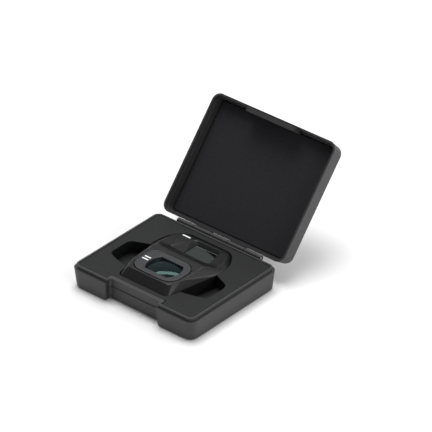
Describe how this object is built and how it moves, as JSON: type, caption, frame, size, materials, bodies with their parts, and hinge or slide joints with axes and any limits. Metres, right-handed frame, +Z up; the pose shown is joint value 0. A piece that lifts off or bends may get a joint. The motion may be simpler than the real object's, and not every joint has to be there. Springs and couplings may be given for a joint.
{
  "type": "clip-on camera lens attachment in a hinged storage case",
  "caption": "Flat hinged plastic case, lid leaning open, with a moulded insert that holds a clip-on wide-angle lens attachment with a flat-sided lens and a window.",
  "frame": {"origin": "middle of the case's flat underside, which rests on the table", "axes": "+X along the hinge to the right, +Y from the latch to the hinge, +Z up; the lid is open"},
  "size_m": [0.078, 0.1146, 0.0636],
  "materials": {
    "shell_plastic": "fine moulded texture",
    "insert_plastic": "matte",
    "liner_foam": "soft foam",
    "hinge_steel": "drawn wire",
    "frame_plastic": "satin",
    "bezel_metal": "black anodised, satin",
    "cell_metal": "black, semi-matte",
    "coated_glass": "anti-reflection coated",
    "soft_rubber": "matte",
    "white_print": "pad print"
  },
  "bodies": {
    "base": {"case_base": "shell_plastic", "insert_tray": "insert_plastic", "pocket_pad": "liner_foam", "hinge_pin": "hinge_steel"},
    "lid": {"case_lid": "shell_plastic", "lid_liner": "liner_foam"},
    "latch": {"latch_tab": "shell_plastic"},
    "lens_attachment": {"lens_frame": "frame_plastic", "bezel_plate": "bezel_metal", "lens_cell": "cell_metal", "rear_element": "coated_glass", "spacer_ring": "cell_metal", "middle_element": "coated_glass", "front_seal": "soft_rubber", "front_element": "coated_glass", "retaining_ring": "cell_metal", "window_pane": "coated_glass", "pane_gasket": "soft_rubber", "pane_retainer": "cell_metal", "camera_pad_front_left": "soft_rubber", "camera_pad_front_right": "soft_rubber", "camera_pad_rear_left": "soft_rubber", "camera_pad_rear_right": "soft_rubber", "frame_mark": "white_print", "bezel_mark_upper": "white_print", "bezel_mark_lower": "white_print"},
    "clip_left": {"snap_clip_left": "frame_plastic"},
    "clip_right": {"snap_clip_right": "frame_plastic"}
  },
  "joints": [
    {"name": "lid_hinge", "type": "hinge", "parent": "base", "child": "lid", "pos_m": [0, 0.03293, 0.0113], "axis": [1, 0, 0], "range_deg": [0, 130.5]},
    {"name": "latch_flex", "type": "hinge", "parent": "lid", "child": "latch", "pos_m": [0, 0.07693, 0.05883], "axis": [-1, 0, 0], "range_deg": [0, 6], "stiffness_Nm_per_rad": 0.02},
    {"name": "attachment_lift", "type": "slide", "parent": "base", "child": "lens_attachment", "axis": [0, 0, 1], "range_m": [0, 0.032]},
    {"name": "clip_left_flex", "type": "hinge", "parent": "lens_attachment", "child": "clip_left", "pos_m": [-0.01745, 0.0025, 0.0112], "axis": [0, 1, 0], "range_deg": [0, 4], "stiffness_Nm_per_rad": 0.02},
    {"name": "clip_right_flex", "type": "hinge", "parent": "lens_attachment", "child": "clip_right", "pos_m": [0.01745, 0.0025, 0.0112], "axis": [0, -1, 0], "range_deg": [0, 4], "stiffness_Nm_per_rad": 0.02}
  ]
}
